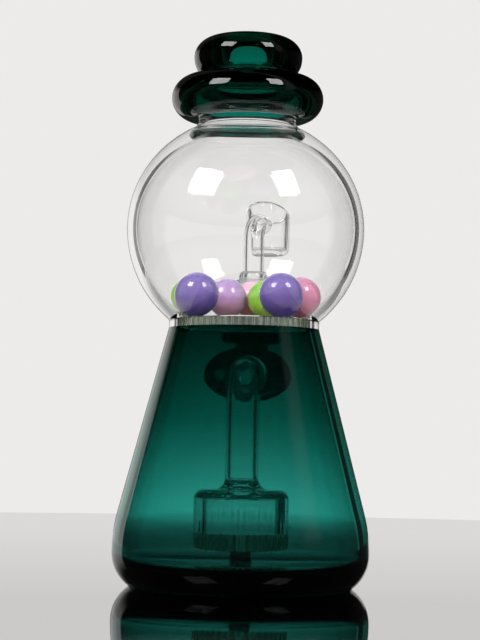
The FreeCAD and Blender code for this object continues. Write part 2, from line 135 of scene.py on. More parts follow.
# %% Fire-polished glass
# Teal glass: nearly black where it is thick, a clean green where light comes through. The cone's wall was
# blown thin from the same colour, so it takes less.
teal_glass = blown_glass("teal borosilicate glass", tint=TEAL, per_metre=650.0)
drawn_teal_glass = blown_glass("teal borosilicate glass blown out to a cone", tint=TEAL, per_metre=400.0)
# Clear glass: seen only by its edges and its mirror images. A long way through it looks a little green.
THICK_TINT, THICK_PER_METRE = "#7d9a92", 20.0
clear_glass = blown_glass("clear borosilicate glass")
thick_glass = blown_glass("thick clear borosilicate glass", tint=THICK_TINT, per_metre=THICK_PER_METRE)
# The post is clear glass with a dark skin, which is painted shade, so it stands out dark against the floor.
post_glass_painted_shade = blown_glass("post glass with painted shade", tint=THICK_TINT, per_metre=THICK_PER_METRE, skin="#46574f")
# Quartz: water-clear, with shorter ripples than the body has, because the pieces are small.
quartz = blown_glass("clear fused quartz", QUARTZ_IOR, ripple_mm=12.0, deep_mm=0.01)

# %% Sawn and ground glass
# The disc is cut from plate and only lapped, which blurs what is behind it. Sawn slots are matt and greenish.
# Ground joints are frosted. Real grit marks are some 0.05 mm wide, too fine to show, so they are drawn at
# about a millimetre.
disc_glass = blown_glass("clear disc glass", roughness=0.22, tint="#9db88e", per_metre=16.0)
sawn_glass = blown_glass("sawn glass", roughness=0.4, ripple_mm=1.5, skin="#c9d3b8")
ground_glass = blown_glass("ground joint glass", JOINT_IOR, roughness=0.35, ripple_mm=0.8, deep_mm=0.01)

# %% [markdown]
# The cone starts as a short, dark piece of coloured tube. Blowing it out draws the colour thin at the belly
# and leaves it dense at the waist, so what comes through the wall is tinted more and more towards the top.
# Near the foot, below about 9 mm and between about 12 and 30 mm, the ramp makes it darker again.
# The base colour of a transmitting surface does all this, with a ramp along the height of the cone; two
# glasses with a seam between them would show an edge.

# %% Colour drawn out along the cone
RAMP_TALL = 110
FOOT_COLOUR, WAIST_COLOUR = "#8c8c8c", "#2e7a73"
# Height in millimetres, and the colour that comes through there.
COLOURS_AT = ((8.5, CLEAR), (9.5, CLEAR), (12.5, "#e8e8e8"), (15, "#adadad"), (22, "#adadad"),
              (28, "#dadada"), (30.5, CLEAR), (36, CLEAR), (73, "#86b7b2"))
tree = drawn_teal_glass.node_tree
place = add(tree, "TexCoord", {})
height = add(tree, "SeparateXYZ", {"Vector": place.outputs["Object"]})
drawn = add(tree, "MapRange", {0: height.outputs["Z"], 1: 0.0, 2: RAMP_TALL * MM})
density = add(tree, "ValToRGB", {0: drawn.outputs[0]})
stops = density.color_ramp.elements
stops[0].color, stops[1].color = paint(FOOT_COLOUR), paint(WAIST_COLOUR)
for z, colour in COLOURS_AT:
    stops.new(z / RAMP_TALL).color = paint(colour)
tree.links.new(density.outputs[0], tree.nodes["Principled BSDF"].inputs["Base Color"])
print("colours of the cone at", [round(stop.position * RAMP_TALL, 1) for stop in stops], "mm")


# %% [markdown]
# ## Turning a profile into glass
# Tube and bowl shapes are turned: a profile is drawn as points of radius and height, in millimetres, and each
# point becomes a ring. Blender's Screw modifier could do that, but a bent tube is the same thing with its
# rings set along a bent line, so one function makes both. A profile that starts and ends on the axis is
# closed there, and any other is closed to a ring.

# %% Pieces of a profile
def oval(centre_r, centre_z, wide, tall, start, end, steps):
    """Points of an oval arc in a profile, from one angle to another in degrees."""
    turns = [math.radians(start + (end - start) * i / steps) for i in range(steps + 1)]
    return [(centre_r + wide * math.cos(t), centre_z + tall * math.sin(t)) for t in turns]


def straight(radius, start, end, steps):
    """Points of an even run of tube."""
    return [(radius, start + (end - start) * i / steps) for i in range(steps + 1)]


def bow(start, corner, end, steps):
    """Points of a soft bend round a corner, after its start."""
    shares = [i / steps for i in range(1, steps + 1)]
    return [tuple(a * (1 - t) ** 2 + b * 2 * t * (1 - t) + c * t * t for a, b, c in zip(start, corner, end))
            for t in shares]


print("a quarter round in two steps:", [(round(r, 2), round(z, 2)) for r, z in oval(0, 0, 1, 1, 0, 90, 2)])


# %% Lines to turn along
def upright(x, y):
    """A line straight up through (x, y), for turned shapes: height counts from z = 0."""
    return lambda s: (Vector((x, y, s)), Vector((0, 0, 1)), Vector((1, 0, 0)))


def bent(start, corner, end, bend):
    """A line of two straight runs that meet at a right angle in a round bend."""
    ahead, after = (corner - start).normalized(), (end - corner).normalized()
    run, turn = (corner - start).length - bend, bend * math.pi / 2
    centre = corner + (after - ahead) * bend
    side = ahead.cross(after)

    def at(s):
        if s <= run:
            return start + ahead * s, ahead, side
        if s >= run + turn:
            return corner + after * (bend + s - run - turn), after, side
        angle = (s - run) / bend
        along = ahead * math.cos(angle) + after * math.sin(angle)
        return centre + (ahead * math.sin(angle) - after * math.cos(angle)) * bend, along, side
    return at


AXIS = upright(0, 0)
print("the axis at 10 mm:", AXIS(10)[0])

# %% From a shape to an object
SHARP_DEG = 32


def into_scene(name, shape):
    """Make an object of a finished shape."""
    mesh = bpy.data.meshes.new(name)
    shape.to_mesh(mesh)
    shape.free()
    piece = bpy.data.objects.new(name, mesh)
    bpy.context.scene.collection.objects.link(piece)
    return piece


def finish_mesh(piece, sharp_deg=SHARP_DEG):
    """Smooth shading that still breaks at real edges."""
    piece.data.shade_smooth()
    piece.data.set_sharp_from_angle(angle=math.radians(sharp_deg))


print("edges of more than", SHARP_DEG, "degrees stay sharp")

# %% Turning
LARGE, SLIM, BORE = 192, 96, 64


def turned(name, profile, line, around):
    """A closed glass shape whose rings stand along a line. A third number makes the ring an oval."""
    shape = bmesh.new()
    rings = []
    for point in profile:
        wide, tall = point[0], point[2] if len(point) > 2 else point[0]
        centre, along, side = line(point[1])
        up = along.cross(side)
        count = around if wide else 1
        ring = []
        for t in [math.tau * i / count for i in range(count)]:
            out = side * wide * math.cos(t) + up * tall * math.sin(t)
            ring.append(shape.verts.new((centre + out) * MM))
        rings.append(ring)
    on_axis = len(rings[0]) == 1
    for a, b in zip(rings, rings[1:] if on_axis else rings[1:] + rings[:1]):
        for i in range(around):
            corners = [a[i % len(a)], a[(i + 1) % len(a)], b[(i + 1) % len(b)], b[i % len(b)]]
            corners = list(dict.fromkeys(corners))
            if len(corners) > 2:
                shape.faces.new(corners)
    bmesh.ops.recalc_face_normals(shape, faces=shape.faces)
    piece = into_scene(name, shape)
    finish_mesh(piece)
    return piece


print("faces round a large piece, a slim piece and a bore:", LARGE, SLIM, BORE)


# %% [markdown]
# ## Welding and handing over
# Welds, bores and saw cuts are booleans. Left as modifiers they would run again at every change, so each is
# applied at once. A finished piece gets its materials, rides on its body and stands for its solids. Where
# clear and teal glass meet, a gap of a twentieth of a millimetre keeps their faces apart, so that light
# always knows which glass it is in.

# %% Welding and settling
GAP = 0.05


def weld(piece, other, operation):
    """Join, cut or keep the common part of two shapes, as a boolean that is applied at once."""
    tool = piece.modifiers.new("weld", "BOOLEAN")
    tool.object, tool.operation, tool.solver = other, operation, "EXACT"
    bpy.context.view_layer.update()
    seen = piece.evaluated_get(bpy.context.evaluated_depsgraph_get())
    mesh = bpy.data.meshes.new_from_object(seen)
    piece.modifiers.clear()
    piece.data = mesh
    bpy.data.objects.remove(other)
    finish_mesh(piece)


def settle(piece, body, material_slot, materials, *nodes):
    """Give a piece its materials, its body and the solids that it stands for."""
    piece.data.materials.clear()
    for material in materials:
        piece.data.materials.append(material)
    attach(piece, body)
    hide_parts(*nodes)
    print(piece.name, len(piece.data.polygons), "faces for", ", ".join(nodes))


print("gap between glasses:", GAP, "mm")


# %% [markdown]
# ## The teal cone and the joint behind it
# On the bench the cone is blown first, with a thick flat floor and a rounded heel. The flare, the elbow and
# the bead under the socket are welded on behind from the same teal glass. They could stay separate pieces,
# but then each weld would show as a dark skin inside the glass, so here they are joined to one body. It is
# filled first and hollowed afterwards, so that no wall is left standing inside another.

# %% Measures of the cone
WAIST_R, WAIST_Z, CONE_WALL = 32.3, 110.3, 4.5
BELLY_R, BELLY_Z, BELLY_CURVE, HEEL_CURVE = 55.05, 14.5, 67.0, 17.8
FLOOR_Z, SIDE_Z, RING_STEP = 9.0, 40, 10

across, rise = WAIST_R - BELLY_R + BELLY_CURVE, WAIST_Z - BELLY_Z
lean = math.atan2(rise, across) - math.acos(BELLY_CURVE / math.hypot(across, rise))
lean_deg = math.degrees(lean)
heel_deg = math.degrees(math.asin(BELLY_Z / HEEL_CURVE))


def cone_r(z):
    """Outer radius of the cone's straight side."""
    return WAIST_R + (WAIST_Z - z) * math.tan(lean)


def inner_r(z):
    """Inner radius of the cone's even wall."""
    return cone_r(z) - CONE_WALL / math.cos(lean)


print("the side leans in by", round(lean_deg, 2), "degrees")

# %% Outside of the cone
outer = [(0, 0)] + oval(BELLY_R - HEEL_CURVE, BELLY_Z, HEEL_CURVE, HEEL_CURVE, -heel_deg, 0, 20)
outer += oval(BELLY_R - BELLY_CURVE, BELLY_Z, BELLY_CURVE, BELLY_CURVE, 0, lean_deg, 12)[1:]
outer += [(cone_r(z), z) for z in range(SIDE_Z, math.ceil(WAIST_Z), RING_STEP)]
outer += [(WAIST_R, WAIST_Z), (0, WAIST_Z)]
teal_body = turned("teal_body", outer, AXIS, LARGE)
print("cone:", len(outer), "rings")

# %% Flare and elbow
# ABOVE_Z is any height above the elbow: it only says which way the tube turns.
JOINT_Y, LEG_Z, ABOVE_Z, STEM_BORE, BEND = 62.0, 91.5, 140, 5.15, 12.0
ELBOW_R, ELBOW_RISE, FLARE_WIDE, FLARE_TALL, FLARE_RINGS = 8.9, 5.0, 12.6, 4.1, 16

flare_start = math.sqrt(cone_r(LEG_Z) ** 2 - (ELBOW_R + FLARE_WIDE) ** 2)
flare_end = JOINT_Y - BEND
joint_rings = [(0, flare_start)]
for share in [i / FLARE_RINGS for i in range(FLARE_RINGS + 1)]:
    spread = math.cos(share * math.pi / 2)
    joint_rings.append((ELBOW_R + FLARE_WIDE * spread, flare_start + (flare_end - flare_start) * share,
                        ELBOW_R + FLARE_TALL * spread))
bend_long = BEND * math.pi / 2
elbow_end = flare_end + bend_long + ELBOW_RISE
joint_rings += straight(ELBOW_R, flare_end, elbow_end, 24)[1:] + [(0, elbow_end)]
to_rear = bent(Vector((0, 0, LEG_Z)), Vector((0, JOINT_Y, LEG_Z)), Vector((0, JOINT_Y, ABOVE_Z)), BEND)
joint = turned("joint", joint_rings, to_rear, SLIM)
print("joint from", round(flare_start, 1), "mm behind the axis")

# %% Bead under the socket
BEAD_R, BEAD_Z, BEAD_ROUND = 13.8, 111.0, 3.5
bead_rings = oval(BEAD_R, BEAD_Z, BEAD_ROUND, BEAD_ROUND, -90, 90, 20)
bead_rings = [(0, BEAD_Z - BEAD_ROUND)] + bead_rings + [(0, BEAD_Z + BEAD_ROUND)]
weld(joint, turned("bead", bead_rings, upright(0, JOINT_Y), SLIM), "UNION")
weld(teal_body, joint, "UNION")
print("cone and joint:", len(teal_body.data.polygons), "faces before the hollow")

# %% Hollow of the cone and bore of the joint
OPEN_Z, BORE_START, BORE_RISE = 112, 20, 30.0


def cavity_profile(gap):
    """The hollow of the cone, drawn in by a gap and open past the top."""
    wall, low = CONE_WALL + gap, BELLY_Z - FLOOR_Z - gap
    corner = oval(BELLY_R - wall - low, BELLY_Z, low, low, -90, 0, 14)
    belly = oval(BELLY_R - BELLY_CURVE, BELLY_Z, BELLY_CURVE - wall, BELLY_CURVE - wall, 0, lean_deg, 12)[1:]
    sides = [(inner_r(z) - gap, z) for z in range(SIDE_Z, OPEN_Z, RING_STEP)]
    return [(0, FLOOR_Z + gap)] + corner + belly + sides + [(inner_r(OPEN_Z) - gap, OPEN_Z), (0, OPEN_Z)]


weld(teal_body, turned("hollow", cavity_profile(0), AXIS, LARGE), "DIFFERENCE")
bore_end = flare_end + bend_long + BORE_RISE
bore_rings = [(0, BORE_START)] + straight(STEM_BORE, BORE_START, bore_end, 48) + [(0, bore_end)]
weld(teal_body, turned("bore", bore_rings, to_rear, BORE), "DIFFERENCE")
settle(teal_body, "glass_body", "teal_glass", [drawn_teal_glass],
       "base_cone", "joint_flare", "joint_elbow", "joint_collar")


# %% [markdown]
# ## The percolator and its downstem
# Air comes down the stem into the can and leaves as bubbles through the slits of the puck under it. The post,
# the puck, the can, the stem and its weld on the rear wall are one run of clear glass. They could be five
# solids, but one profile along a line that rises on the axis and bends to the rear leaves no inner faces.
# The slits are sawn afterwards, as on the real can.

# %% Outside of the post, the puck and the can
POST_R, POST_WELD, PUCK_Z, PUCK_ROUND, SUNK = 4.5, 2.5, 16.0, 2, 1
PERC_R, PERC_TOP, SHOULDER = 20.5, 41.2, 4.2

foot_r = POST_R + POST_WELD
core = [(0, FLOOR_Z - SUNK), (foot_r, FLOOR_Z - SUNK), (foot_r, FLOOR_Z)]
core += oval(foot_r, FLOOR_Z + POST_WELD, POST_WELD, POST_WELD, 270, 180, 8) + [(POST_R, PUCK_Z)]
core += oval(PERC_R - PUCK_ROUND, PUCK_Z + PUCK_ROUND, PUCK_ROUND, PUCK_ROUND, -90, 0, 8)
core += oval(PERC_R - SHOULDER, PERC_TOP - SHOULDER, SHOULDER, SHOULDER, 0, 90, 12)
print("can:", 2 * PERC_R, "mm across")

# %% Outside of the downstem
STEM_R, STEM_WELD, SEAL_R, SEAL_LONG, PAST_WALL = 7.2, 4.8, 11.7, 8.5, 6

stem_z, straight_end = PERC_TOP + STEM_WELD, LEG_Z - BEND
wall_s = straight_end + bend_long + inner_r(LEG_Z) - BEND
seal_s = wall_s - SEAL_LONG
core += oval(STEM_R + STEM_WELD, stem_z, STEM_WELD, STEM_WELD, 270, 180, 10)
core += straight(STEM_R, stem_z, straight_end, 6)[1:] + straight(STEM_R, straight_end, seal_s, 20)[1:-1]
core += oval(SEAL_R, seal_s, SEAL_R - STEM_R, SEAL_LONG, 180, 90, 10)
core += [(SEAL_R, wall_s + PAST_WALL), (STEM_BORE, wall_s + PAST_WALL)]
print("stem:", round(wall_s, 1), "mm along its line to the rear wall")

# %% Inside of the downstem and the can
PERC_BORE, CAN_Z, ROOF_Z, SLITS = 15.7, 23.0, 37.0, 44

core += straight(STEM_BORE, straight_end, wall_s, 24)[::-1]
core += [(STEM_BORE, ROOF_Z), (PERC_BORE, ROOF_Z), (PERC_BORE, CAN_Z), (0, CAN_Z)]
stem_line = bent(Vector((0, 0, 0)), Vector((0, 0, LEG_Z)), Vector((0, JOINT_Y, LEG_Z)), BEND)
percolator = turned("percolator_and_stem", core, stem_line, 3 * SLITS)
weld(percolator, turned("room", cavity_profile(GAP), AXIS, LARGE), "INTERSECT")
print("percolator:", len(percolator.data.polygons), "faces before the slits")

# %% Slits of the puck
SLIT_WIDE, SLIT_R, BLADE, HAIR = 1.1, 14.9, 10.0, 0.02

saw = bmesh.new()
blade_at = Vector((SLIT_R + BLADE / 2, 0, CAN_Z + HAIR - BLADE / 2)) * MM
for i in range(SLITS):
    blade = Matrix.Rotation(math.tau * i / SLITS, 4, "Z") @ Matrix.Translation(blade_at)
    bmesh.ops.create_cube(saw, size=MM, matrix=blade @ Matrix.Diagonal((BLADE, SLIT_WIDE, BLADE, 1.0)))
weld(percolator, into_scene("saw", saw), "DIFFERENCE")
settle(percolator, "glass_body", "clear_glass", [thick_glass, sawn_glass, post_glass_painted_shade],
       "percolator_post", "percolator_cup", "percolator_can", "downstem", "stem_seal")

# %% Sawn faces, and the painted shade of the post
# EDGE is how far inside an edge the middle of a face lies at least, and UPRIGHT how far a face may lean.
EDGE, UPRIGHT = 0.1, 0.2


def stands(face):
    """Whether a face stands upright."""
    return abs(face.normal.z) < UPRIGHT


for face in percolator.data.polygons:
    out, z = face.center.xy.length / MM, face.center.z / MM
    in_slit = SLIT_R - EDGE < out < PERC_R - 2 * EDGE and PUCK_Z + 2 * EDGE < z < CAN_Z - EDGE
    # The post's faces take the glass with painted shade.
    in_post = z < PUCK_Z - EDGE
    face.material_index = 2 if in_post else int(in_slit and stands(face))
print("sawn faces:", sum(face.material_index == 1 for face in percolator.data.polygons))


# %% [markdown]
# ## The slitted disc
# The marbles lie on a thick clear disc whose rim is sawn like a cog, so that air and water pass round it. It
# could be sawn with booleans as the puck is, but its slots go right through, so its outline is drawn once,
# slot by slot, and drawn up to its thickness.

# %% Slitted disc
DISC_R, SLOT_R, SLOTS, SLOT_WIDE, DISC_TOP, DISC_SHARP_DEG = 28.05, 25.05, 60, 1.0, 115.4, 20

cog = []
for i in range(SLOTS):
    for radius, edge in ((DISC_R, -1), (SLOT_R, -1), (SLOT_R, 1), (DISC_R, 1)):
        cog.append((radius, math.tau * i / SLOTS + edge * math.asin(SLOT_WIDE / 2 / radius)))
    cog.append((DISC_R, math.tau * (i + 0.5) / SLOTS))
disc_shape = bmesh.new()
levels = [[disc_shape.verts.new((r * math.cos(t) * MM, r * math.sin(t) * MM, z * MM)) for r, t in cog]
          for z in (WAIST_Z + GAP, DISC_TOP)]
disc_shape.faces.new(levels[0][::-1])
disc_shape.faces.new(levels[1])
for i in range(len(cog)):
    k = (i + 1) % len(cog)
    disc_shape.faces.new((levels[0][i], levels[0][k], levels[1][k], levels[1][i]))
disc = into_scene("slitted_disc_glass", disc_shape)
finish_mesh(disc, DISC_SHARP_DEG)
settle(disc, "glass_body", "clear_glass", [disc_glass, sawn_glass], "slitted_disc")
for face in disc.data.polygons:
    face.material_index = int(stands(face) and face.center.xy.length / MM < DISC_R - 2 * EDGE)


# %% [markdown]
# ## The globe and its neck
# The globe is blown from one gather, with a straight collar below and a short neck above. Its upper half is
# a little flatter than round. A single thin skin would be enough for a lamp globe, but this wall is over
# 4 mm thick, which is what bends the light at its edge, so both faces of the wall are drawn. The neck is
# welded on, and the weld leaves a soft round outside and inside.

# %% Outside of the globe
GLOBE_R, GLOBE_TOP, GLOBE_WALL, GLOBE_Z = 51.1, 48.8, 4.2, 153.45
NECK_R, NECK_BORE, NECK_TOP = 21.0, 16.8, 203.94
WELD_OUT, WELD_UP = 2.6, 3

collar_bore = WAIST_R - GLOBE_WALL
low_deg, top_deg = [math.degrees(math.acos(r / GLOBE_R)) for r in (WAIST_R, NECK_R)]
bowl = [(collar_bore, WAIST_Z + GAP), (WAIST_R, WAIST_Z + GAP)]
bowl += oval(0, GLOBE_Z, GLOBE_R, GLOBE_R, -low_deg, 0, 32)
bowl += oval(0, GLOBE_Z, GLOBE_R, GLOBE_TOP, 0, top_deg, 40)[1:]
bowl = [point for point in bowl if point[1] < GLOBE_Z or point[0] > NECK_R + WELD_OUT]
weld_z = GLOBE_Z + GLOBE_TOP * math.sin(math.radians(top_deg))
bowl += bow(bowl[-1], (NECK_R, weld_z), (NECK_R, weld_z + WELD_UP), 10)
bowl += [(NECK_R, NECK_TOP), (NECK_BORE, NECK_TOP)]
print("the neck is welded on at", round(weld_z, 1), "mm")

# %% Inside of the globe
WELD_IN, BORE_STRAIGHT = 7, 1

bowl_r, bowl_top = GLOBE_R - GLOBE_WALL, GLOBE_TOP - GLOBE_WALL
low_deg, top_deg = [math.degrees(math.acos(r / bowl_r)) for r in (collar_bore, NECK_BORE)]
bore_z = GLOBE_Z + bowl_top * math.sin(math.radians(top_deg))
inner = oval(0, GLOBE_Z, bowl_r, bowl_top, top_deg, 0, 60)
inner = [point for point in inner if point[0] > NECK_BORE + WELD_IN]
bowl += bow((NECK_BORE, NECK_TOP - BORE_STRAIGHT), (NECK_BORE, bore_z), inner[0], 12)
bowl += inner[1:] + oval(0, GLOBE_Z, bowl_r, bowl_r, 0, -low_deg, 32)[1:]
globe = turned("globe_and_neck", bowl, AXIS, LARGE)
settle(globe, "glass_body", "clear_glass", [clear_glass], "globe", "neck")


# %% [markdown]
# ## The lid
# Two thick teal rings with a passage through them: the lower one is the brim, blown hollow, and the upper one
# the crown with the mouth in its top. Two tori would leave faces between them, so one profile goes up the
# outside and down the passage. Light goes through much more glass here than in the cone, so it looks nearly
# black.

# %% Lid
BRIM_R, BRIM_Z, BRIM_ROUND = 23.4, 210.24, 9.4
LID_WAIST_R, LID_WAIST_Z, CROWN_R, CROWN_Z, CROWN_TALL = 19.6, 221.44, 23.45, 228.44, 8.7
LIP_R, LIP_Z, LIP_ROUND, MOUTH_R = 13.2, 234.74, 2.4, 12.0
THROAT_R, HOLLOW_R, HOLLOW_RISE = 13.5, 24.2, 5.0

seat_deg = -90 - math.degrees(math.asin((BRIM_R - NECK_R - GAP) / BRIM_ROUND))
neck_deg = 90 + math.degrees(math.asin((BRIM_R - LID_WAIST_R) / BRIM_ROUND))
lid_rings = [(NECK_BORE, NECK_TOP + GAP), (NECK_R + GAP, NECK_TOP + GAP)]
lid_rings += oval(BRIM_R, BRIM_Z, BRIM_ROUND, BRIM_ROUND, seat_deg, neck_deg, 64)
lid_rings += oval(LID_WAIST_R, CROWN_Z, CROWN_R - LID_WAIST_R, CROWN_Z - LID_WAIST_Z, -90, 0, 20)
lid_rings += oval(LIP_R, CROWN_Z, CROWN_R - LIP_R, CROWN_TALL, 0, 90, 28)[1:]
lid_rings += oval(LIP_R, LIP_Z, LIP_ROUND, LIP_ROUND, 90, 180, 16)[1:]
lid_rings += [(MOUTH_R, CROWN_Z), (THROAT_R, LID_WAIST_Z)]
lid_rings += oval(THROAT_R, BRIM_Z, HOLLOW_R - THROAT_R, HOLLOW_RISE, 90, 0, 20)
lid_rings += oval(NECK_BORE, BRIM_Z, HOLLOW_R - NECK_BORE, BRIM_Z - NECK_TOP - GAP, 0, -90, 16)[1:-1]
lid = turned("lid_and_mouthpiece", lid_rings, AXIS, LARGE)
settle(lid, "glass_body", "teal_glass", [teal_glass], "lid_brim", "lid_crown")


# %% [markdown]
# ## The socket and the banger
# The socket is a clear tube whose bore is ground to a standard taper. The quartz banger stands in it: a
# ground taper, a bent arm and a bucket with a slanted rim. Ground faces are matt and scatter light. A painted
# mask could mark them, but they end at sharp edges, so they get the frosted material face by face.

# %% Socket
SOCKET_R, SOCKET_Z, RIM_Z, RIM_ROUND = 8.9, 114.5, 135.0, 0.8
TAPER_TOP, TAPER_FOOT, TAPER_LONG = 7.25, 6.25, 20

taper_z = RIM_Z - TAPER_LONG
socket_rings = [(STEM_BORE, SOCKET_Z + GAP), (SOCKET_R, SOCKET_Z + GAP)]
socket_rings += oval(SOCKET_R - RIM_ROUND, RIM_Z - RIM_ROUND, RIM_ROUND, RIM_ROUND, 0, 90, 6)
socket_rings += [(TAPER_TOP, RIM_Z), (TAPER_FOOT, taper_z), (STEM_BORE, taper_z)]
socket = turned("clear_socket", socket_rings, upright(0, JOINT_Y), SLIM)
settle(socket, "glass_body", "clear_glass", [clear_glass, ground_glass], "joint_socket")
joint_axis = Vector((0, JOINT_Y, 0)) * MM
for face in socket.data.polygons:
    faces_in = face.normal.xy.dot((face.center - joint_axis).xy) < 0 and stands(face)
    face.material_index = int(faces_in and face.center.z / MM > taper_z + EDGE)

# %% Banger's taper and arm
ARM_Z, ARM_R, ARM_BEND, REACH, YAW_DEG = 164.2, 5.0, 8.5, 24.0, 14
PLUG_R, PLUG_TOP_R, PLUG_LONG, SHOULDER_Z, SHOULDER_TALL = 6.2, 7.24, 20.8, 21.2, 3.2

yaw = math.radians(YAW_DEG)
bucket_at = Vector((REACH * math.sin(yaw), JOINT_Y + REACH * math.cos(yaw), 0))
arm_line = bent(Vector((0, JOINT_Y, taper_z)), Vector((0, JOINT_Y, ARM_Z)),
                Vector((bucket_at.x, bucket_at.y, ARM_Z)), ARM_BEND)
arm_run = ARM_Z - taper_z - ARM_BEND
arm_long = arm_run + ARM_BEND * math.pi / 2 + REACH - ARM_BEND
arm_rings = [(0, 0), (PLUG_R, 0), (PLUG_TOP_R, PLUG_LONG)]
arm_rings += oval(ARM_R, SHOULDER_Z, PLUG_TOP_R - ARM_R, SHOULDER_TALL, 0, 90, 8)[:-1]
arm_rings += straight(ARM_R, SHOULDER_Z + SHOULDER_TALL, arm_run, 4)
arm_rings += straight(ARM_R, arm_run, arm_long, 20)[1:] + [(0, arm_long)]
banger = turned("quartz_banger", arm_rings, arm_line, SLIM)
print("arm:", round(arm_long, 1), "mm along its middle")

# %% Banger's bucket
BUCKET_R, BUCKET_WALL, BUCKET_ROUND, BUCKET_BELOW, BUCKET_ABOVE = 11.3, 2.2, 4, 14.8, 7.8
BUCKET_FLOOR, WELL_ROUND, WELL_PAST = 2.6, 1.8, 5

floor_z, rim_z, lip = ARM_Z - BUCKET_BELOW, ARM_Z + BUCKET_ABOVE, BUCKET_WALL / 2
well_r, well_z = BUCKET_R - BUCKET_WALL - WELL_ROUND, floor_z + BUCKET_FLOOR
cup_rings = [(0, floor_z)]
cup_rings += oval(BUCKET_R - BUCKET_ROUND, floor_z + BUCKET_ROUND, BUCKET_ROUND, BUCKET_ROUND, -90, 0, 12)
cup_rings += oval(BUCKET_R - lip, rim_z - lip, lip, lip, 0, 90, 8) + [(0, rim_z)]
well_rings = [(0, well_z)] + oval(well_r, well_z + WELL_ROUND, WELL_ROUND, WELL_ROUND, -90, 0, 8)
well_rings += oval(BUCKET_R - lip + HAIR, rim_z - lip, lip + HAIR, lip + HAIR, 180, 90, 8)
well_rings += [(BUCKET_R - lip, rim_z + WELL_PAST), (0, rim_z + WELL_PAST)]
bucket_line = upright(bucket_at.x, bucket_at.y)
cup, well = [turned("cup", profile, bucket_line, SLIM) for profile in (cup_rings, well_rings)]
print("bucket:", 2 * BUCKET_R, "mm across")

# %% Slanted rim
SLANT_DEG = 24
for piece in (cup, well):
    for vertex in piece.data.vertices:
        if vertex.co.z > ARM_Z * MM:
            back = (vertex.co - bucket_at * MM).xy.dot(Vector((math.sin(yaw), math.cos(yaw))))
            vertex.co.z -= back * math.tan(math.radians(SLANT_DEG))
weld(banger, cup, "UNION")
weld(banger, well, "DIFFERENCE")
print("arm and bucket:", len(banger.data.polygons), "faces before the bore")

# %% Banger's bore and frosted taper
ARM_BORE, BORE_PAST, FROST_PAST, FROST_OUT = 3.6, 2, 1.3, 0.5

bore_rings = [(0, -BORE_PAST), (ARM_BORE, -BORE_PAST)] + straight(ARM_BORE, 0, arm_run, 4)
bore_rings += straight(ARM_BORE, arm_run, arm_long, 20)[1:] + [(0, arm_long)]
weld(banger, turned("arm_bore", bore_rings, arm_line, BORE), "DIFFERENCE")
settle(banger, "banger", "quartz", [quartz, ground_glass], "banger_taper", "banger_arm", "banger_bucket")
for face in banger.data.polygons:
    out = (face.center - joint_axis).xy.length / MM
    face.material_index = int(face.center.z / MM < RIM_Z + FROST_PAST and out > ARM_R + FROST_OUT)


# %% [markdown]
# ## The marbles
# Machine-made glass marbles: opaque glass with a high polish. One flat colour would look like plastic. The
# glass is stirred, so its colour is not even, with soft streaks some 6 mm wide. The colour also changes from
# top to foot: painted light and shade that evens out how the lamps light the top and leave the foot dark, and
# painted reflections of the neighbours and of the disc below. A clear coat gives the hard, bright points of
# light. Their places could be typed in, but the imported solids already say where they lie, so each ball is
# drawn in its solid's box.

# %% Marble glass with painted light
STREAK_MM, STREAK_SHIFT = 6, 0.06
FOOT_AT, MIDDLE_AT, TOP_AT = 0.08, 0.45, 0.92


def marble_glass_with_painted_light(name, top, middle, foot):
    """Opaque polished glass whose colour changes from top to foot, as painted light and painted reflection.
    """
    material, tree = start_material(name)
    place = add(tree, "TexCoord", {})
    streak = add(tree, "TexNoise", {"Vector": place.outputs["Object"], "Scale": 1 / (STREAK_MM * MM),
                                    "Detail": 3.0, "Distortion": 1.5})
    height = add(tree, "SeparateXYZ", {"Vector": place.outputs["Generated"]})
    stirred = add(tree, "MapRange", {0: streak.outputs[0], 1: 0.3, 2: 0.7, 3: -STREAK_SHIFT, 4: STREAK_SHIFT})
    level = add(tree, "Math", {0: height.outputs["Z"], 1: stirred.outputs[0]}, operation="ADD")
    # Painted light and painted reflection: the colour ramp from the foot of the ball to its top.
    ramp = add(tree, "ValToRGB", {0: level.outputs[0]})
    stops = ramp.color_ramp.elements
    stops[0].position, stops[0].color = FOOT_AT, paint(foot)
    stops[1].position, stops[1].color = TOP_AT, paint(top)
    stops.new(MIDDLE_AT).color = paint(middle)
    skin = add(tree, "BsdfPrincipled", {"Base Color": ramp.outputs[0], "Roughness": 0.0, "IOR": 1.6,
                                        "Coat Weight": 0.6, "Coat Roughness": 0.0})
    add(tree, "OutputMaterial", {"Surface": skin.outputs[0]})
    print(name)
    return material


# Each finish: the colour at the top, in the middle and at the foot, with painted light and reflection in it.
MARBLES = {
    "purple_marble": marble_glass_with_painted_light("purple marble glass", "#7463a4", "#69529e", "#544389"),
    "green_marble": marble_glass_with_painted_light("green marble glass", "#7ab540", "#8cc736", "#ccf052"),
    "lilac_marble": marble_glass_with_painted_light("lilac marble glass", "#a68cbb", "#b98cc0", "#ffb2ca"),
    "pink_marble": marble_glass_with_painted_light("pink marble glass", "#c280a0", "#c87294", "#d06a88"),
    "pale_pink_marble": marble_glass_with_painted_light("pale pink marble glass", "#e0b0c0", "#eea4b0", "#ffa48c"),
}

# %% Marbles
finishes = {part["node"]: part["material_slot"] for part in frame["record"]["subparts"]}
for body, nodes in frame["record"]["behaviour"]["bodies"].items():
    if not body.startswith("ball_"):
        continue
    low, high = [Vector(corner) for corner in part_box(nodes[0])]
    ball = bmesh.new()
    bmesh.ops.create_uvsphere(ball, u_segments=64, v_segments=40, radius=(high.z - low.z) / 2,
                              matrix=Matrix.Translation((low + high) / 2))
    marble = into_scene("polished_" + nodes[0], ball)
    finish_mesh(marble)
    settle(marble, body, finishes[nodes[0]], [MARBLES[finishes[nodes[0]]]], nodes[0])
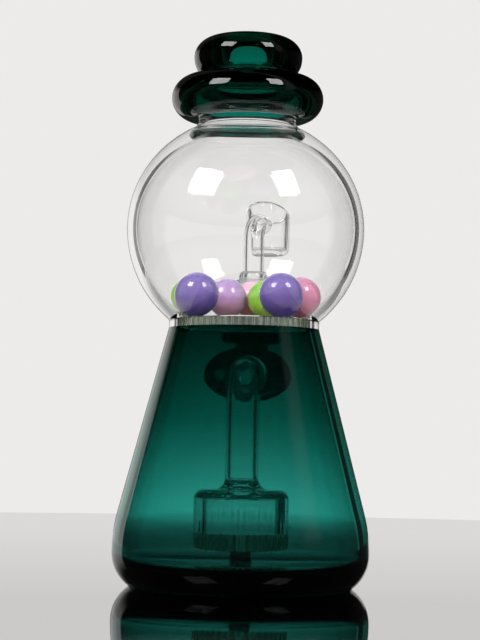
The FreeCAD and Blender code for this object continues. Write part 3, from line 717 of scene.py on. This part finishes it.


# %% [markdown]
# ## The table
# The pipe stands on a plain pale table top with a polished surface: seen at a low angle it mirrors the
# backdrop and the foot, and seen from above it is matt and pale. A coat on a pale colour would mirror too
# little at this angle, so a matt and a mirror surface are mixed by the angle of view. Seen through the glass,
# the table is painted darker in front of the pipe and just behind it than far behind: painted shade of the
# pipe. In mirror images in glass the table is painted dark, a painted dark reflection.

# %% Table top
TABLE_R, TABLE_DOWN = 0.8, 0.0001
table_shape = bmesh.new()
bmesh.ops.create_circle(table_shape, cap_ends=True, segments=128, radius=TABLE_R)
table = into_scene("table_top", table_shape)
table.location.z = -TABLE_DOWN
print("table:", 2 * TABLE_R, "m across")

# %% Table's finish
# Facing is 0 where the table is seen from straight above, and 1 where it is seen at a glancing angle.
MATT_TO, MIRROR_FROM, LEAST_MIRROR = 0.62, 0.90, 0.03
DULL_TO, BRIGHT_FROM, DULL, BRIGHT = 0.918, 0.954, 0.71, 0.84
NEAR_Y, FAR_Y, NEAR_SHARE, FAR_SHARE = 0.05, 0.8, 0.7, 1.15
PALE, PALE_IN_GLASS = 0.75, 0.02

table_top, tree = start_material("polished pale table top")
ray = add(tree, "LightPath", {})
facing = add(tree, "LayerWeight", {"Blend": 0.5}).outputs["Facing"]
share = add(tree, "MapRange", {0: facing, 1: MATT_TO, 2: MIRROR_FROM, 3: LEAST_MIRROR, 4: 1.0})
shine = add(tree, "MapRange", {0: facing, 1: DULL_TO, 2: BRIGHT_FROM, 3: DULL, 4: BRIGHT})
place = add(tree, "SeparateXYZ", {"Vector": add(tree, "TexCoord", {}).outputs["Object"]})
# Painted shade: seen through glass, the mirror is darker in front of and just behind the pipe, lighter far
# behind.
painted_shade_along_y = add(tree, "MapRange", {0: place.outputs["Y"], 1: NEAR_Y, 2: FAR_Y, 3: NEAR_SHARE, 4: FAR_SHARE})
through = add(tree, "MapRange", {0: ray.outputs["Is Transmission Ray"], 3: 1.0, 4: painted_shade_along_y.outputs[0]})
shine = add(tree, "Math", {0: shine.outputs[0], 1: through.outputs[0]}, operation="MULTIPLY")
mirror = add(tree, "BsdfGlossy", {"Color": shine.outputs[0], "Roughness": 0.03})
# Painted dark reflection: in mirror images in glass the matt part is nearly black.
pale = add(tree, "MapRange", {0: ray.outputs["Is Reflection Ray"], 3: PALE, 4: PALE_IN_GLASS})
matt = add(tree, "BsdfDiffuse", {"Color": pale.outputs[0]})
blend = add(tree, "MixShader", {0: share.outputs[0], 1: matt.outputs[0], 2: mirror.outputs[0]})
add(tree, "OutputMaterial", {"Surface": blend.outputs[0]})
table.data.materials.append(table_top)
print("table:", table_top.name)

# %% [markdown]
# Glass is drawn by the dark things around it. A polished dark sheet of painted shade lies under the pipe and
# behind it, where only rays that went through glass find it: it paints the heel dark, as on a dark table, and
# leaves the table pale everywhere else. A dark table all over would take the pale ground away.

# %% Dark sheet of painted shade
SHEET_SIDE, SHEET_FRONT, SHEET_BACK, SHEET_DOWN = 0.11, -0.06, 0.13, 0.00005
sheet_shape = bmesh.new()
corners = [(-SHEET_SIDE, SHEET_FRONT), (SHEET_SIDE, SHEET_FRONT), (SHEET_SIDE, SHEET_BACK),
           (-SHEET_SIDE, SHEET_BACK)]
sheet_shape.faces.new([sheet_shape.verts.new((x, y, 0)) for x, y in corners])
sheet = into_scene("painted_shade_sheet", sheet_shape)
sheet.location.z = -SHEET_DOWN
sheet.visible_camera = sheet.visible_glossy = sheet.visible_diffuse = sheet.visible_shadow = False
# Painted shade: the sheet is dark and polished, and only rays that went through glass see it.
shade_sheet_finish, tree = start_material("polished sheet of painted shade")
skin = add(tree, "BsdfPrincipled", {"Base Color": paint("#303030"), "Roughness": 0.03, "IOR": 1.49})
add(tree, "OutputMaterial", {"Surface": skin.outputs[0]})
sheet.data.materials.append(shade_sheet_finish)
print("sheet:", shade_sheet_finish.name)

# %% [markdown]
# ## The surroundings
# The backdrop is the world, pale grey for the camera and for the table's mirror image. Upright black cards
# stand beside it, as a photographer puts them to draw the edges of glass. They could be planes, but then they
# would show beside the pipe, so the world darkens by bearing, only for rays that have been through glass.
# What glass mirrors is a dark room with a low bright window behind it: on real glass most of the surface
# shows no reflection at all. Glass mirrors sharply and the table a little softly, so a ray that glass
# mirrored is known by Is Singular Ray, and one that was mirrored twice by its glossy depth.

# %% Bearings
world = bpy.data.worlds.new("studio")
bpy.context.scene.world = world
world.use_nodes = True
tree = world.node_tree
tree.nodes.clear()
towards = add(tree, "SeparateXYZ", {"Vector": add(tree, "TexCoord", {}).outputs["Generated"]})
bearing = add(tree, "Math", {0: towards.outputs["X"], 1: towards.outputs["Y"]}, operation="ARCTAN2")


def upright_strip(before, middle_deg, half_deg, soft_deg, inside, outside):
    """A brightness times one value within an upright strip of the surroundings, and another outside it."""
    off = add(tree, "Math", {0: bearing.outputs[0], 1: math.radians(middle_deg)}, operation="SUBTRACT")
    side = add(tree, "Math", {0: off.outputs[0]}, operation="ABSOLUTE")
    low, high = math.radians(half_deg - soft_deg), math.radians(half_deg + soft_deg)
    value = add(tree, "MapRange", {0: side.outputs[0], 1: low, 2: high, 3: inside, 4: outside})
    return add(tree, "Math", {0: before, 1: value.outputs[0]}, operation="MULTIPLY").outputs[0]


print("bearings count from straight behind the pipe, to the right")

# %% Cards and ceiling
# A direction's Z is the sine of its height above the horizon. Each card: its middle and half its width.
CEILING_FROM, CEILING_TO, CEILING = 0.62, 0.72, 0.6
CARDS, CARD_SOFT, CARD_DARK = ((30, 6), (58, 17), (-39, 4.5), (-61, 15)), 1, 0.05

level = towards.outputs["Z"]
behind = add(tree, "MapRange", {0: level, 1: CEILING_FROM, 2: CEILING_TO, 3: 1.0, 4: CEILING}).outputs[0]
for middle_deg, half_deg in CARDS:
    behind = upright_strip(behind, middle_deg, half_deg, CARD_SOFT, CARD_DARK, 1.0)
print("cards:", len(CARDS))

# %% Window and side light
WINDOW_TO, WINDOW_END, ABOVE_WINDOW, BESIDE_WINDOW, WINDOW_SOFT = 0.20, 0.34, 0.05, 0.03, 1.2
SIDE_FROM, SIDE_TO, SIDE_SOFT, SIDE_LIGHT = 0.05, 0.2, 4, 0.24

low_down = add(tree, "MapRange", {0: level, 1: WINDOW_TO, 2: WINDOW_END, 3: 1.0, 4: ABOVE_WINDOW}).outputs[0]
wide_window = upright_strip(low_down, -20, 34, WINDOW_SOFT, 1.0, BESIDE_WINDOW)
window = upright_strip(low_down, -36, 18, WINDOW_SOFT, 1.0, BESIDE_WINDOW)
higher_up = add(tree, "MapRange", {0: level, 1: SIDE_FROM, 2: SIDE_TO}).outputs[0]
side_light = upright_strip(higher_up, 108, 9, SIDE_SOFT, SIDE_LIGHT, 0.0)
room = add(tree, "Math", {0: window, 1: side_light}, operation="ADD").outputs[0]
print("surroundings:", len(tree.nodes), "nodes")

# %% World
# Depths are whole numbers, so a half lies between two of them.
FILL = 0.42
ray = add(tree, "LightPath", {})
again = add(tree, "Math", {0: ray.outputs["Glossy Depth"], 1: 1.5}, operation="GREATER_THAN")
past_glass = add(tree, "Math", {0: ray.outputs["Transmission Depth"], 1: 0.5}, operation="GREATER_THAN")
on_table = add(tree, "Mix", {0: past_glass.outputs[0], 2: 1.0, 3: behind})
on_table = add(tree, "Mix", {0: again.outputs[0], 2: on_table.outputs[0], 3: wide_window})
mirrored = add(tree, "Mix", {0: ray.outputs["Is Singular Ray"], 2: on_table.outputs[0], 3: room})
beyond = add(tree, "Mix", {0: ray.outputs["Is Reflection Ray"], 2: behind, 3: mirrored.outputs[0]})
strength = add(tree, "Mix", {0: ray.outputs["Is Camera Ray"], 2: beyond.outputs[0], 3: 1.0})
backdrop = add(tree, "Background", {"Color": paint("#ecebe9"), "Strength": strength.outputs[0]})
fill = add(tree, "Background", {"Color": paint("#ffffff"), "Strength": FILL})
lit = add(tree, "MixShader", {0: ray.outputs["Is Diffuse Ray"], 1: backdrop.outputs[0], 2: fill.outputs[0]})
add(tree, "OutputWorld", {"Surface": lit.outputs[0]})
print("world:", len(tree.nodes), "nodes")

# %% [markdown]
# ## Light and camera
# Two softboxes stand in front, to the left and to the right, some 40 degrees up: they are the two windows of
# light on the globe. Lamps without a size would make points of light there. The camera is a long lens low in
# front, turned a little to the right of the middle. It could be aimed at a target, but a turn, a pitch and a
# roll say how a camera on a tripod stands.

# %% Softboxes
TALL, AWAY, POWER, ELEVATION_DEG = 0.20, 0.47, 5.7, 39
AIM = Vector((0, 0, 0.16))
for name, azimuth_deg, wide in (("softbox_left", -43, 0.20), ("softbox_right", 49, 0.15)):
    lamp = bpy.data.lights.new(name, "AREA")
    lamp.shape, lamp.size, lamp.size_y, lamp.energy = "RECTANGLE", wide, TALL, POWER * wide
    box = bpy.data.objects.new(name, lamp)
    bpy.context.scene.collection.objects.link(box)
    azimuth, elevation = math.radians(azimuth_deg), math.radians(ELEVATION_DEG)
    outward = Vector((math.sin(azimuth) * math.cos(elevation), -math.cos(azimuth) * math.cos(elevation),
                      math.sin(elevation)))
    box.location = AIM + outward * AWAY
    box.visible_camera = False
    box.rotation_euler = outward.to_track_quat("Z", "Y").to_euler()
    print(name, "at", [round(v, 3) for v in box.location])

# %% Camera
FRAME_TALL, LENS_PIXELS, ASIDE_PIXELS, SENSOR = 640, 1900, 4.2, 36.0
DISTANCE, CAMERA_Z, TURN_DEG, PITCH_DEG, ROLL_DEG = 0.817, 0.06185, 4.0, 3.67, 0.94

camera = bpy.data.objects.new("camera", bpy.data.cameras.new("camera"))
bpy.context.scene.collection.objects.link(camera)
camera.data.sensor_width = SENSOR
camera.data.lens = LENS_PIXELS / FRAME_TALL * SENSOR
turn, pitch, roll = [math.radians(angle) for angle in (TURN_DEG, PITCH_DEG, ROLL_DEG)]
aside = math.atan(ASIDE_PIXELS / LENS_PIXELS)
camera_at = Vector((math.sin(turn) * DISTANCE, -math.cos(turn) * DISTANCE, CAMERA_Z))
camera.matrix_world = (Matrix.Translation(camera_at) @ Matrix.Rotation(turn + aside, 4, "Z")
                       @ Matrix.Rotation(math.pi / 2 + pitch, 4, "X") @ Matrix.Rotation(roll, 4, "Z"))
bpy.context.scene.camera = camera
print("lens:", round(camera.data.lens, 1), "mm")

# %% [markdown]
# ## Settings
# Light goes through up to a dozen faces of glass before it reaches the backdrop, so it may bounce more often
# than Blender's defaults allow. The drawing must not grow past the model.

# %% Settings
THROUGH_GLASS, MIRRORED = 32, 12
scene = bpy.context.scene
scene.view_settings.view_transform = "Standard"
scene.cycles.max_bounces = THROUGH_GLASS
scene.cycles.transmission_bounces = THROUGH_GLASS
scene.cycles.transparent_max_bounces = THROUGH_GLASS
scene.cycles.glossy_bounces = MIRRORED
